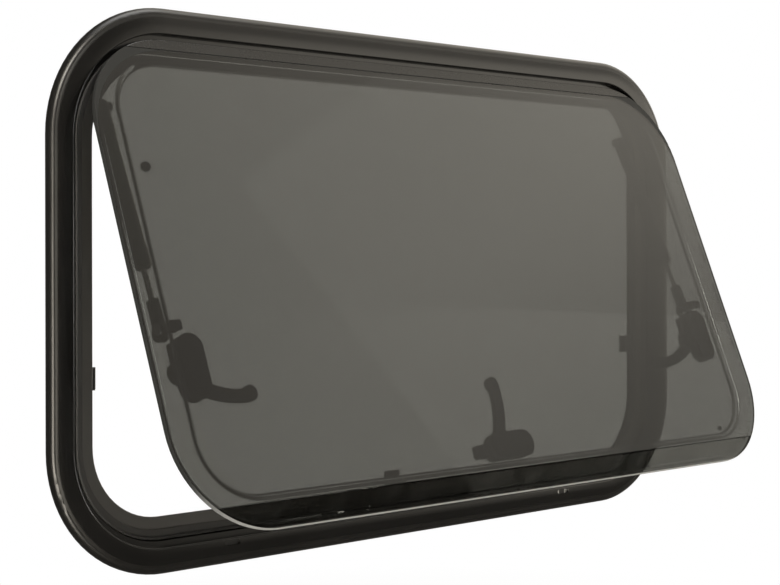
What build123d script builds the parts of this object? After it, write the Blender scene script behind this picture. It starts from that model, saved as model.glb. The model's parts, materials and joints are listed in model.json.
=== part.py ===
from build123d import *
import math
import os

# Top-hung camper window. X runs along the wall, +Y goes indoors and +Z is up.
# The wall's outer skin is the plane Y = 0, and the origin is the centre of the window on it.

# Wall cut-out and frame outline.
CUTOUT_W = 700.0
CUTOUT_H = 400.0
CUTOUT_PLAY = 0.5
FLANGE_LAP = 23.0
FRAME_W = CUTOUT_W + 2 * FLANGE_LAP
FRAME_H = CUTOUT_H + 2 * FLANGE_LAP
CORNER_R = 104.0
WALL_T = 24.0
SPIGOT_SHORT = 0.5

# Frame section: distances in from the outer edge, and depths from the wall plane.
EDGE_T = 2.0
SHOULDER_U = 5.5
SHOULDER_RISE = 5.2
SHOULDER_MID_IN = 0.28
SHOULDER_MID_OUT = 0.66
FACE_CROWN = 0.5
BEAD_U = 21.0
BEAD_RISE = 6.8
BEAD_ROUND = 1.2
GROOVE_FLOOR = 1.0
GROOVE_W = 4.6
GROOVE_SLOPE = 1.0
SPIGOT_T = 3.0
WEB_U = 44.2
WEB_FRONT = 4.5
WEB_T = 2.5

# Rubber seal on the web.
SEAL_LIP_W = 1.6
SEAL_FOOT_W = 7.5
SEAL_FOOT_T = 1.6
SEAL_FOOT_EDGE = 0.6
SEAL_CLEAR = 1.2
SEAL_IN = 1.2
SEAL_TIP = 0.6
SEAL_LEAN = 0.2
SEAL_END_GAP = 1.0

# Clamp frame on the indoor side.
CLAMP_OUT_U = 17.0
CLAMP_IN_U = 32.0
CLAMP_T = 3.0
CLAMP_LIP_T = 2.4
CLAMP_LIP_REACH = 11.0
CLAMP_PLAY = 0.5
CLAMP_BEVEL = 1.5
SCREW_R = 1.1
SCREW_BITE = 7.0
SCREW_HEAD_R = 3.0
SCREW_HEAD_T = 1.6
SCREW_SPREAD = 0.62

# Drain slots through the lower face.
DRAIN_X = 204.0
DRAIN_W = 16.0
DRAIN_H = 4.0
DRAIN_DEPTH = 3.4
DRAIN_CAP_T = 1.2

# Sash: the closed pane is drawn first, then swung open to the rest angle.
OPEN_REST = 22.0
SASH_GAP = 2.2
SASH_R = 79.0
STRIP_TOP_U = 27.8
STRIP_W = 9.0
STRIP_BEVEL = 2.5
SEAM = 0.5
SHEET_T = 3.5
SHEET_ROUND = 0.8
SASH_BACKSET = 8.0

# Hinge: a round bead on the strip turns in a channel on the frame.
HINGE_U = 31.2
HINGE_Y = 0.9
HINGE_BEAD_R = 2.4
HINGE_PLAY = 0.5
HINGE_WALL = 1.5
HINGE_NECK_T = 2.0
HINGE_MOUTH_FROM = 97.0
HINGE_MOUTH_TO = 213.0
HINGE_END = 14.0
HINGE_FOOT_T = 1.2
STRIP_FLANGE_T = 1.5
STRIP_FLANGE_DOWN = 4.0
STRIP_FLANGE_UP = 1.4
STRIP_FLANGE_IN = 4.0
NECK_ROOT = 0.2

# Inner sheet: a thin formed sheet whose raised middle leaves a hollow.
FORM_FLANGE_IN = 4.0
FORM_T = 2.5
FORM_EDGE = 20.5
FORM_TOP_IN = 4.5
FORM_R = 50.0
FORM_RISE = 4.0
FORM_DRAFT = 50.0

# Latches: a is towards the pane's middle, b along the edge, both from the pivot.
LATCH_IN = 42.5
LATCH_BELOW_PIN = 33.6
LATCH_LOW_X = -7.0
LATCH_BASE_L = 51.0
LATCH_BASE_W = 23.0
LATCH_BASE_T = 12.0
LATCH_BASE_B_SIDE = 1.0
LATCH_BASE_B_LOW = 5.1
LATCH_BASE_ROUND = 2.0
LATCH_FLOOR = 2.0
LATCH_GAP = 0.6
LATCH_HUB_R = 9.5
LATCH_NECK = 4.4
LATCH_TURN = 90.0
TONGUE_T = 4.4
TONGUE_W = 11.7
TONGUE_REACH = 23.5
TONGUE_ROUND = 3.0
LEVER_T = 6.0
LEVER_ROUND = 1.6
LEVER_KNOB = (58.0, 19.8)
LEVER_KNOB_R = 6.5
LEVER_OUTER_ROOT = (-4.0, 7.0)
LEVER_OUTER_MID = (30.0, 23.6)
LEVER_INNER_ROOT = (7.0, 1.0)
LEVER_INNER_MID = (32.0, 13.6)
LEVER_NECK_TURN = 148.0
LEVER_NECK_R = 4.0
LATCH_SCREW_R = 2.4
LATCH_SCREW_PLAY = 0.3
LATCH_SCREW_SHORT = 1.0
LATCH_SCREW_HEAD_R = 4.6
LATCH_SCREW_HEAD_T = 1.4

# Keepers: a foot on the web's back, a post and a lip that each locked tongue goes behind.
KEEPER_L = 17.0
KEEPER_FOOT_IN = 14.0
KEEPER_FOOT_T = 2.6
KEEPER_POST_T = 6.0
KEEPER_OVER = 3.3
KEEPER_LIP = 10.0
KEEPER_LIP_T = 2.6
KEEPER_CLEAR = 1.2
KEEPER_BEVEL = 0.8
KEEPER_SIDE_UP = 3.4

# Stays: a tube pinned to the frame and a rod pinned to the sash.
STAY_IN = 56.0
STAY_TOP_DOWN = 80.5
STAY_TOP_Y = 14.6
STAY_PIN_DOWN = 232.2
STAY_PIN_RISE = 16.8
STAY_SWING_BIAS = -0.535
STAY_LENGTH_BIAS = 1.749
TUBE_R = 6.2
TUBE_BORE_R = 4.8
TUBE_END = 121.0
TUBE_PLUG = 4.0
TUBE_HEAD_R = 6.6
TUBE_HEAD_L = 26.0
TUBE_BALL_R = 6.8
CAP_R = 6.8
CAP_L = 17.5
ROD_R = 2.2
ROD_PLAY = 0.4
ROD_START = 70.0
ROD_SOCKET = 10.0
BAR_L = 26.0
BAR_W = 8.6
BAR_T = 6.0
EYE_R = 7.6
EYE_PLAY = 2.9
PANE_PIN_R = 2.0
FRAME_PIN_R = 2.6
FRAME_PIN_PLAY = 0.3
PIN_HEAD_R = 4.4
PIN_HEAD_T = 1.2
PIN_SIDE_PLAY = 0.8
FRAME_EAR_T = 5.0
FRAME_FOOT_DOWN = 18.0
FRAME_FOOT_UP = 12.0
PANE_CHEEK_T = 2.8
PANE_CHEEK_R = 6.0
PANE_FOOT_OUT = 7.0
PANE_FOOT_UP = 13.0
BRACKET_FOOT_T = 2.6
BRACKET_PLAY = 0.4

# Small plugs in the inner sheet, measured in from the sash's edges.
PLUG_IN = 40.2
PLUG_DOWN = 107.9
PLUG_R = 4.2
PLUG_T = 1.6
SMALL_PLUG_IN = 64.0
SMALL_PLUG_UP = 33.0
SMALL_PLUG_R = 2.4
SMALL_PLUG_T = 0.8

# Values that follow from the ones above.
HALF_W = FRAME_W / 2
HALF_H = FRAME_H / 2
SPIGOT_U = FLANGE_LAP + CUTOUT_PLAY
SPIGOT_IN_U = SPIGOT_U + SPIGOT_T
SPIGOT_END = WALL_T - SPIGOT_SHORT
WEB_BACK = WEB_FRONT + WEB_T
GROOVE_END_U = BEAD_U + GROOVE_W
HINGE_Z = HALF_H - HINGE_U
HINGE_BORE_R = HINGE_BEAD_R + HINGE_PLAY
HINGE_OUT_R = HINGE_BORE_R + HINGE_WALL
SASH_FACE = HINGE_Y - SASH_BACKSET
SASH_BACK = SASH_FACE + SHEET_T
SASH_HALF_W = HALF_W - BEAD_U - SASH_GAP
SASH_LOW = -HALF_H + BEAD_U + SASH_GAP
SASH_TOP = HALF_H - STRIP_TOP_U
SASH_MID = (SASH_TOP + SASH_LOW) / 2
STRIP_LOW = SASH_TOP - STRIP_W
SHEET_TOP = STRIP_LOW - SEAM
FORM_TOP = SASH_BACK + FORM_RISE + FORM_T
LATCH_LOW_Z = SASH_LOW + LATCH_IN
LATCH_RISE = LATCH_BASE_T + LATCH_GAP + LATCH_NECK
TONGUE_FRONT = FORM_TOP + LATCH_RISE
KEEPER_BACK = TONGUE_FRONT - KEEPER_CLEAR
STAY_X = HALF_W - STAY_IN
STAY_TOP_Z = HALF_H - STAY_TOP_DOWN
PANE_PIN_Y = FORM_TOP + STAY_PIN_RISE
PANE_PIN_Z = SASH_TOP - STAY_PIN_DOWN
LATCH_SIDE_X = SASH_HALF_W - LATCH_IN
LATCH_SIDE_Z = PANE_PIN_Z - LATCH_BELOW_PIN
EYE_HOLE_R = PANE_PIN_R + EYE_PLAY
HINGE_AXIS = Axis((0, HINGE_Y, HINGE_Z), (-1, 0, 0))
WALL_PLANE = Plane.XZ
TOUCH = 0.01
ARC_MID = 1 - math.sqrt(0.5)


def section(points):
    """A closed face from (in from the edge, depth) corners."""
    return make_face(Polyline(*points, close=True))


def rim_plane(centre_x, centre_z, reach, turn):
    """The section plane at one angle of the outline: local x points to the middle, local y indoors."""
    c = math.cos(math.radians(turn))
    s = math.sin(math.radians(turn))
    start = (centre_x + reach * c, 0, centre_z + reach * s)
    return Plane(origin=start, x_dir=(-c, 0, -s), z_dir=(s, 0, -c))


def ring(profile):
    """Carry a section round the frame's outline: four straight runs and four bent corners."""
    flat_w = HALF_W - CORNER_R
    flat_h = HALF_H - CORNER_R
    pieces = []
    runs = ((0, HALF_W, flat_h), (90, HALF_H, flat_w), (180, HALF_W, flat_h), (270, HALF_H, flat_w))
    for turn, reach, flat in runs:
        plane = rim_plane(0, 0, reach, turn)
        pieces.append(extrude(plane * profile, amount=flat, both=True))
    bends = ((0, flat_w, flat_h), (90, -flat_w, flat_h), (180, -flat_w, -flat_h), (270, flat_w, -flat_h))
    for turn, x, z in bends:
        plane = rim_plane(x, z, CORNER_R, turn)
        centre_line = Axis((x, 0, z), (0, -1, 0))
        pieces.append(revolve(plane * profile, axis=centre_line, revolution_arc=90))
    whole = pieces[0].fuse(*pieces[1:])
    return whole.clean()


def slab(sketch, y_from, y_to):
    """Thicken an XZ sketch between two depths."""
    return extrude(WALL_PLANE.offset(-y_from) * sketch, amount=y_from - y_to)


def block(x, y, z):
    """A box between (low, high) pairs on each axis."""
    size = (x[1] - x[0], y[1] - y[0], z[1] - z[0])
    middle = ((x[0] + x[1]) / 2, (y[0] + y[1]) / 2, (z[0] + z[1]) / 2)
    return Pos(*middle) * Box(*size)


def rod_x(x_from, x_to, y, z, radius):
    """A round bar along X."""
    plane = Plane(origin=(x_from, y, z), x_dir=(0, 1, 0), z_dir=(1, 0, 0))
    return extrude(plane * Circle(radius), amount=x_to - x_from)


def rod_y(y_from, y_to, x, z, radius):
    """A round bar along Y."""
    plane = Plane(origin=(x, y_from, z), x_dir=(1, 0, 0), z_dir=(0, 1, 0))
    return extrude(plane * Circle(radius), amount=y_to - y_from)


def swing(shape):
    """Turn a piece of the sash from closed to the rest angle."""
    return shape.rotate(HINGE_AXIS, OPEN_REST)


def swing_point(y, z):
    """Depth and height of a point of the closed sash once the sash is at the rest angle."""
    c = math.cos(math.radians(OPEN_REST))
    s = math.sin(math.radians(OPEN_REST))
    back = y - HINGE_Y
    up = z - HINGE_Z
    return HINGE_Y + back * c + up * s, HINGE_Z - back * s + up * c


def flip(shape):
    """The same piece on the other side of the window."""
    return shape.mirror(Plane.YZ)


# Frame extrusion.
outer_lines = Line((0, 0), (0, -EDGE_T))
shoulder_mid = (SHOULDER_U * SHOULDER_MID_IN, -EDGE_T - (SHOULDER_RISE - EDGE_T) * SHOULDER_MID_OUT)
outer_lines += ThreePointArc((0, -EDGE_T), shoulder_mid, (SHOULDER_U, -SHOULDER_RISE))
face_mid = ((SHOULDER_U + BEAD_U - BEAD_ROUND) / 2, -(SHOULDER_RISE + BEAD_RISE) / 2 - FACE_CROWN)
outer_lines += ThreePointArc((SHOULDER_U, -SHOULDER_RISE), face_mid, (BEAD_U - BEAD_ROUND, -BEAD_RISE))
bead_mid = (BEAD_U - BEAD_ROUND * ARC_MID, -BEAD_RISE + BEAD_ROUND * ARC_MID)
outer_lines += ThreePointArc((BEAD_U - BEAD_ROUND, -BEAD_RISE), bead_mid, (BEAD_U, -BEAD_RISE + BEAD_ROUND))
outer_lines += Polyline(
    (BEAD_U, -BEAD_RISE + BEAD_ROUND),
    (BEAD_U, -GROOVE_FLOOR),
    (GROOVE_END_U, -GROOVE_FLOOR),
    (GROOVE_END_U + GROOVE_SLOPE, WEB_FRONT),
    (WEB_U - WEB_T / 2, WEB_FRONT),
)
outer_lines += ThreePointArc(
    (WEB_U - WEB_T / 2, WEB_FRONT),
    (WEB_U, WEB_FRONT + WEB_T / 2),
    (WEB_U - WEB_T / 2, WEB_BACK),
)
outer_lines += Polyline(
    (WEB_U - WEB_T / 2, WEB_BACK),
    (SPIGOT_IN_U, WEB_BACK),
    (SPIGOT_IN_U, SPIGOT_END),
    (SPIGOT_U, SPIGOT_END),
    (SPIGOT_U, 0),
    (0, 0),
)
outer_frame = ring(make_face(outer_lines))

# Clamp frame and its screws, which bite into the end of the spigot.
clamp_lip_u = SPIGOT_IN_U + CLAMP_PLAY
clamp_frame = ring(
    section(
        (
            (CLAMP_OUT_U, WALL_T),
            (clamp_lip_u, WALL_T),
            (clamp_lip_u, WALL_T - CLAMP_LIP_REACH),
            (clamp_lip_u + CLAMP_LIP_T, WALL_T - CLAMP_LIP_REACH),
            (clamp_lip_u + CLAMP_LIP_T, WALL_T),
            (CLAMP_IN_U, WALL_T),
            (CLAMP_IN_U, WALL_T + CLAMP_T - CLAMP_BEVEL),
            (CLAMP_IN_U - CLAMP_BEVEL, WALL_T + CLAMP_T),
            (CLAMP_OUT_U + CLAMP_BEVEL, WALL_T + CLAMP_T),
            (CLAMP_OUT_U, WALL_T + CLAMP_T - CLAMP_BEVEL),
        )
    )
)
screw_u = (SPIGOT_U + SPIGOT_IN_U) / 2
screw_spots = []
for share in (-SCREW_SPREAD, 0.0, SCREW_SPREAD):
    screw_spots.append((share * (HALF_W - CORNER_R), HALF_H - screw_u))
    screw_spots.append((share * (HALF_W - CORNER_R), -HALF_H + screw_u))
for side in (-1, 1):
    screw_spots.append((side * (HALF_W - screw_u), 0.0))
screws = []
for x, z in screw_spots:
    shank = rod_y(SPIGOT_END - SCREW_BITE, WALL_T + CLAMP_T, x, z, SCREW_R)
    outer_frame -= shank
    clamp_frame -= shank
    head = rod_y(WALL_T + CLAMP_T, WALL_T + CLAMP_T + SCREW_HEAD_T, x, z, SCREW_HEAD_R)
    screws.append(shank + head)
clamp_screws = Compound(children=screws)

# Drain slots with a small baffle in each.
drain_z = -HALF_H + BEAD_U - DRAIN_H
drain_caps = []
for side in (-1, 1):
    x_mid = side * DRAIN_X
    slot = Pos(x_mid, drain_z) * SlotOverall(DRAIN_W, DRAIN_H)
    outer_frame -= slab(slot, -2 * BEAD_RISE, -BEAD_RISE + DRAIN_DEPTH)
    drain_caps.append(slab(slot, -BEAD_RISE + DRAIN_DEPTH - DRAIN_CAP_T, -BEAD_RISE + DRAIN_DEPTH))
drain_cap_left, drain_cap_right = drain_caps

# Rubber seal: a foot on the web and a lip that stops just short of the closed inner sheet's rim.
seal_u = GROOVE_END_U + SEAL_IN
seal_tip = SASH_BACK + FORM_T + SEAL_CLEAR
weather_seal = ring(
    section(
        (
            (seal_u, WEB_FRONT),
            (seal_u - SEAL_LEAN, seal_tip + SEAL_TIP),
            (seal_u + SEAL_TIP, seal_tip),
            (seal_u + SEAL_LIP_W, seal_tip + SEAL_TIP),
            (seal_u + SEAL_LIP_W + SEAL_TIP, WEB_FRONT - SEAL_FOOT_T),
            (seal_u + SEAL_FOOT_W, WEB_FRONT - SEAL_FOOT_EDGE),
            (seal_u + SEAL_FOOT_W, WEB_FRONT),
        )
    )
)

# Hinge channel on the frame's upper web.
hinge_half = HALF_W - CORNER_R - HINGE_END
hinge_plane = Plane(origin=(-hinge_half, HINGE_Y, HINGE_Z), x_dir=(0, 1, 0), z_dir=(1, 0, 0))
mouth_reach = HINGE_OUT_R * 3
mouth = [(0, 0)]
for turn in (HINGE_MOUTH_FROM, (HINGE_MOUTH_FROM + HINGE_MOUTH_TO) / 2, HINGE_MOUTH_TO):
    mouth.append((mouth_reach * math.cos(math.radians(turn)), mouth_reach * math.sin(math.radians(turn))))
channel = Circle(HINGE_OUT_R) - Circle(HINGE_BORE_R) - section(mouth)
hinge_rail = extrude(hinge_plane * channel, amount=2 * hinge_half)
hinge_rail += block(
    (-hinge_half, hinge_half),
    (WEB_FRONT - HINGE_FOOT_T, WEB_FRONT),
    (HINGE_Z - HINGE_OUT_R, HINGE_Z + HINGE_BORE_R),
) - extrude(hinge_plane * Circle(HINGE_BORE_R), amount=2 * hinge_half)
hinge_rail &= block((-HALF_W, HALF_W), (-HALF_W, WEB_FRONT), (-HALF_H, HALF_H))

# The seal stops where the sash's edge rises above the hinge axis, because that part turns inwards.
corner_z = SASH_TOP - SASH_R
turn_half = SASH_HALF_W - SASH_R + math.sqrt(SASH_R**2 - (HINGE_Z - corner_z) ** 2) + SEAL_END_GAP
rail_gap = block((-turn_half, turn_half), (-BEAD_RISE, WEB_FRONT), (corner_z, HALF_H))
weather_seal -= rail_gap

# Sash: tinted outer sheet with a polished rim, cut straight below the hinge strip.
sash_outline = Pos(0, SASH_MID) * RectangleRounded(2 * SASH_HALF_W, SASH_TOP - SASH_LOW, SASH_R)
sash_plate = slab(sash_outline, SASH_FACE, SASH_BACK)
front_rim = sash_plate.edges().filter_by_position(Axis.Y, SASH_FACE - TOUCH, SASH_FACE + TOUCH)
sash_plate = fillet(front_rim, SHEET_ROUND)
below = block((-HALF_W, HALF_W), (-HALF_W, HALF_W), (-HALF_H, SHEET_TOP))
above = block((-HALF_W, HALF_W), (-HALF_W, HALF_W), (STRIP_LOW, HALF_H))
bevel = section(
    (
        (SASH_BACK, SASH_TOP),
        (SASH_BACK - STRIP_BEVEL, SASH_TOP),
        (SASH_BACK, SASH_TOP - STRIP_BEVEL),
    )
)
bevel_cut = extrude(Plane.YZ * bevel, amount=HALF_W, both=True)
outer_pane = swing(sash_plate & below)

# Hinge strip: cover plate, bonding flange behind the sheet, neck and round bead.
neck = block(
    (-hinge_half, hinge_half),
    (SASH_BACK - NECK_ROOT, HINGE_Y),
    (HINGE_Z - HINGE_NECK_T / 2, HINGE_Z + HINGE_NECK_T / 2),
)
bead = extrude(hinge_plane * Circle(HINGE_BEAD_R), amount=2 * hinge_half)
bond_up = STRIP_LOW + STRIP_FLANGE_UP - corner_z
bond_half = SASH_HALF_W - SASH_R + math.sqrt(SASH_R**2 - bond_up**2) - STRIP_FLANGE_IN
bond = block(
    (-bond_half, bond_half),
    (SASH_BACK, SASH_BACK + STRIP_FLANGE_T),
    (STRIP_LOW - STRIP_FLANGE_DOWN, STRIP_LOW + STRIP_FLANGE_UP),
)
strip_plate = (sash_plate & above) - bevel_cut
hinge_strip = swing(strip_plate + neck + bead + bond)

# Inner sheet: flat rim bonded to the outer sheet, then a drafted step to a raised flat middle.
form_half_w = SASH_HALF_W - FORM_EDGE
form_low = SASH_LOW + FORM_EDGE
form_top = SHEET_TOP - FORM_TOP_IN
form_tall = form_top - form_low
form_mid = (form_top + form_low) / 2
rim_half_w = SASH_HALF_W - FORM_FLANGE_IN
rim_low = SASH_LOW + FORM_FLANGE_IN
rim_top = STRIP_LOW - STRIP_FLANGE_DOWN - SEAM
rim_tall = rim_top - rim_low
rim_r = SASH_R - FORM_FLANGE_IN
rim = Pos(0, (rim_top + rim_low) / 2) * RectangleRounded(2 * rim_half_w, rim_tall, rim_r)
raised = Pos(0, form_mid) * RectangleRounded(2 * form_half_w, form_tall, FORM_R)
step_wall = FORM_T / math.cos(math.radians(FORM_DRAFT))
hollow_half_w = form_half_w - step_wall
hollow_tall = form_tall - 2 * step_wall
hollow = Pos(0, form_mid) * RectangleRounded(2 * hollow_half_w, hollow_tall, FORM_R - step_wall)
form_plane = WALL_PLANE.offset(-SASH_BACK)
formed = slab(rim, SASH_BACK, SASH_BACK + FORM_T)
formed += extrude(form_plane * raised, amount=-(FORM_RISE + FORM_T), taper=FORM_DRAFT)
formed -= extrude(form_plane * hollow, amount=-FORM_RISE, taper=FORM_DRAFT)

# Plugs in the inner sheet.
plug_x = PLUG_IN - SASH_HALF_W
small_plug_x = SASH_HALF_W - SMALL_PLUG_IN
plug = rod_y(FORM_TOP - FORM_T, FORM_TOP + PLUG_T, plug_x, SASH_TOP - PLUG_DOWN, PLUG_R)
small_plug_z = SASH_LOW + SMALL_PLUG_UP
small_plug = rod_y(FORM_TOP - FORM_T, FORM_TOP + SMALL_PLUG_T, small_plug_x, small_plug_z, SMALL_PLUG_R)
inner_pane = swing(formed - plug - small_plug)
breather_plug = swing(plug)
small_plug = swing(small_plug)


def latch_plane(x, z, towards):
    """Local frame of a latch: x towards the pane's middle, z indoors, origin on the inner sheet."""
    return Plane(origin=(x, FORM_TOP, z), x_dir=towards, z_dir=(0, 1, 0))


def latch_base_shape(shift):
    """Round-ended block with a blind hole for the pivot screw."""
    foot = Pos(0, shift) * Rot(0, 0, 90) * SlotOverall(LATCH_BASE_L, LATCH_BASE_W)
    base = extrude(foot, amount=LATCH_BASE_T)
    upper_rim = base.edges().filter_by_position(Axis.Z, LATCH_BASE_T - TOUCH, LATCH_BASE_T + TOUCH)
    base = fillet(upper_rim, LATCH_BASE_ROUND)
    hole = Pos(0, 0, LATCH_FLOOR) * extrude(Circle(LATCH_SCREW_R + LATCH_SCREW_PLAY), amount=LATCH_BASE_T)
    return base - hole


def handle_outline():
    """Curved handle with a round knob, bent away from the side that it turns to."""
    knob_a, knob_b = LEVER_KNOB
    neck = math.radians(-LEVER_NECK_TURN)
    outer_end = (knob_a, knob_b + LEVER_KNOB_R)
    knob_end = (knob_a + LEVER_KNOB_R, knob_b)
    inner_end = (knob_a + LEVER_KNOB_R * math.cos(neck), knob_b + LEVER_KNOB_R * math.sin(neck))
    lines = ThreePointArc(LEVER_OUTER_ROOT, LEVER_OUTER_MID, outer_end)
    lines += ThreePointArc(outer_end, knob_end, inner_end)
    lines += ThreePointArc(inner_end, LEVER_INNER_MID, LEVER_INNER_ROOT)
    lines += Line(LEVER_INNER_ROOT, LEVER_OUTER_ROOT)
    outline = make_face(lines)
    neck_corner = outline.vertices().sort_by_distance(inner_end)[0]
    return fillet(neck_corner, LEVER_NECK_R)


def lever_shape():
    """Hub, short tongue and curved handle in one moulding, in the unlocked position."""
    hub = Pos(0, 0, LATCH_RISE - LATCH_NECK) * extrude(Circle(LATCH_HUB_R), amount=LATCH_NECK + LEVER_T)
    arm = Pos(TONGUE_REACH / 2, 0) * RectangleRounded(TONGUE_REACH, TONGUE_W, TONGUE_ROUND)
    tongue = Rot(0, 0, 180 + LATCH_TURN) * Pos(0, 0, LATCH_RISE) * extrude(arm, amount=TONGUE_T)
    handle = extrude(handle_outline(), amount=LEVER_T)
    upper_rim = handle.edges().filter_by_position(Axis.Z, LEVER_T - TOUCH, LEVER_T + TOUCH)
    handle = fillet(upper_rim, LEVER_ROUND)
    whole = hub + tongue + Pos(0, 0, LATCH_RISE) * handle
    return whole - extrude(Circle(LATCH_SCREW_R), amount=2 * (LATCH_RISE + LEVER_T))


def latch_screw_shape():
    """Pivot screw: shank through the hub and a low round head."""
    top = LATCH_RISE + LEVER_T
    start = LATCH_FLOOR + LATCH_SCREW_SHORT
    shank = Pos(0, 0, start) * extrude(Circle(LATCH_SCREW_R), amount=top - start)
    head = Pos(0, 0, top) * extrude(Circle(LATCH_SCREW_HEAD_R), amount=LATCH_SCREW_HEAD_T)
    return shank + head


left_plane = latch_plane(-LATCH_SIDE_X, LATCH_SIDE_Z, (1, 0, 0))
low_plane = latch_plane(LATCH_LOW_X, LATCH_LOW_Z, (0, 0, 1))
lever = lever_shape()
latch_screw = latch_screw_shape()
latch_base_left = swing(left_plane * latch_base_shape(LATCH_BASE_B_SIDE))
latch_base_low = swing(low_plane * latch_base_shape(LATCH_BASE_B_LOW))
latch_base_right = flip(latch_base_left)
lever_left = swing(left_plane * lever)
lever_low = swing(low_plane * lever)
lever_right = flip(lever_left)
lever_screw_left = swing(left_plane * latch_screw)
lever_screw_low = swing(low_plane * latch_screw)
lever_screw_right = flip(lever_screw_left)


def keeper_shape(edge):
    """Catch drawn at the bottom member: x along the edge, z towards the pane's middle, edge = web's rim."""
    span = (-KEEPER_L / 2, KEEPER_L / 2)
    post_top = edge + KEEPER_OVER
    post_foot = post_top - KEEPER_POST_T
    foot = block(span, (WEB_BACK, WEB_BACK + KEEPER_FOOT_T), (edge - KEEPER_FOOT_IN, post_top))
    post = block(span, (WEB_BACK, KEEPER_BACK), (post_foot, post_top))
    lip = block(span, (KEEPER_BACK - KEEPER_LIP_T, KEEPER_BACK), (post_foot, edge + KEEPER_LIP))
    catch = foot + post + lip
    tip = catch.edges().filter_by(Axis.X).sort_by(Axis.Z)[-2:]
    return chamfer(tip, KEEPER_BEVEL)


low_edge = -HALF_H + WEB_U
keeper_low = Pos(LATCH_LOW_X, 0, 0) * keeper_shape(low_edge)
side_shape = keeper_shape(-HALF_W + WEB_U)
keeper_left = Pos(0, 0, LATCH_SIDE_Z + KEEPER_SIDE_UP) * side_shape.rotate(Axis.Y, 90)
keeper_right = flip(keeper_left)

# Stays, drawn on the right and mirrored.
pin_rest_y, pin_rest_z = swing_point(PANE_PIN_Y, PANE_PIN_Z)
reach_y = pin_rest_y - STAY_TOP_Y
reach_z = pin_rest_z - STAY_TOP_Z
stay_length = math.hypot(reach_y, reach_z) + STAY_LENGTH_BIAS
stay_swing = math.atan2(-reach_y, -reach_z) + math.radians(STAY_SWING_BIAS)
stay_dir = (0, -math.sin(stay_swing), -math.cos(stay_swing))
stay_plane = Plane(origin=(STAY_X, STAY_TOP_Y, STAY_TOP_Z), x_dir=(1, 0, 0), z_dir=stay_dir)


def along(start, length, radius):
    """A round bar on the stay's axis."""
    return Pos(0, 0, start) * extrude(Circle(radius), amount=length)


def across(at, width, radius):
    """A round bar across the stay's axis."""
    return Pos(-width / 2, 0, at) * Rot(0, 90, 0) * extrude(Circle(radius), amount=width)


tube_shape = Sphere(TUBE_BALL_R) + along(0, TUBE_END, TUBE_R)
tube_shape += along(0, TUBE_HEAD_L, TUBE_HEAD_R)
tube_shape -= along(TUBE_BALL_R + TUBE_PLUG, TUBE_END, TUBE_BORE_R)
tube_shape -= across(0, TUBE_BALL_R * 3, FRAME_PIN_R + FRAME_PIN_PLAY)
cap_shape = along(TUBE_END, CAP_L, CAP_R) - along(TUBE_END - CAP_L, 3 * CAP_L, ROD_R + ROD_PLAY)
bar_start = stay_length - BAR_L
rod_shape = along(ROD_START, bar_start + ROD_SOCKET - ROD_START, ROD_R)
bar_mid = (bar_start + stay_length) / 2
bar_shape = Pos(0, 0, bar_mid) * Box(BAR_T, BAR_W, stay_length - bar_start)
bar_shape += across(stay_length, BAR_T, EYE_R)
bar_shape -= across(stay_length, BAR_T * 2, EYE_HOLE_R)
bar_shape -= along(bar_start - ROD_SOCKET, 2 * ROD_SOCKET, ROD_R)
stay_tube_right = stay_plane * tube_shape
stay_cap_right = stay_plane * cap_shape
stay_rod_right = stay_plane * rod_shape
stay_eye_right = stay_plane * bar_shape

# Frame bracket: foot on the web's back, ear beside the tube's eye, and its pin.
pin_in = STAY_X - TUBE_BALL_R - PIN_SIDE_PLAY
ear_in = STAY_X + TUBE_BALL_R + PIN_SIDE_PLAY
ear_out = ear_in + FRAME_EAR_T
foot_band = ring(
    section(
        (
            (SPIGOT_IN_U + BRACKET_PLAY, WEB_BACK),
            (WEB_U - WEB_T / 2, WEB_BACK),
            (WEB_U - WEB_T / 2, WEB_BACK + BRACKET_FOOT_T),
            (SPIGOT_IN_U + BRACKET_PLAY, WEB_BACK + BRACKET_FOOT_T),
        )
    )
)
foot_span = (STAY_TOP_Z - FRAME_FOOT_DOWN, STAY_TOP_Z + FRAME_FOOT_UP)
frame_foot = foot_band & block((0, HALF_W), (0, WALL_T), foot_span)
ear_span = (STAY_TOP_Z - TUBE_BALL_R, STAY_TOP_Z + TUBE_BALL_R)
frame_ear = block((ear_in, ear_out), (WEB_BACK, STAY_TOP_Y), ear_span)
frame_ear += rod_x(ear_in, ear_out, STAY_TOP_Y, STAY_TOP_Z, TUBE_BALL_R)
stay_pin_right = rod_x(pin_in, ear_out, STAY_TOP_Y, STAY_TOP_Z, FRAME_PIN_R)
stay_bracket_right = frame_foot + frame_ear - stay_pin_right
stay_pin_right += rod_x(pin_in - PIN_HEAD_T, pin_in, STAY_TOP_Y, STAY_TOP_Z, PIN_HEAD_R)

# Pane bracket: foot on the inner sheet, cheek on the eye's inner side, and its pin with the head outside.
cheek_out = STAY_X - BAR_T / 2 - PIN_SIDE_PLAY
cheek_in = cheek_out - PANE_CHEEK_T
pane_foot = block(
    (cheek_in, cheek_out + PANE_FOOT_OUT),
    (FORM_TOP, FORM_TOP + BRACKET_FOOT_T),
    (PANE_PIN_Z - PANE_CHEEK_R, PANE_PIN_Z + PANE_FOOT_UP),
)
pane_cheek = block(
    (cheek_in, cheek_out),
    (FORM_TOP, PANE_PIN_Y),
    (PANE_PIN_Z - PANE_CHEEK_R, PANE_PIN_Z + PANE_CHEEK_R),
)
pane_cheek += rod_x(cheek_in, cheek_out, PANE_PIN_Y, PANE_PIN_Z, PANE_CHEEK_R)
head_in = STAY_X + BAR_T / 2 + PIN_SIDE_PLAY
pane_pin = rod_x(cheek_in, head_in, PANE_PIN_Y, PANE_PIN_Z, PANE_PIN_R)
pane_bracket_right = swing(pane_foot + pane_cheek - pane_pin)
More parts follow.
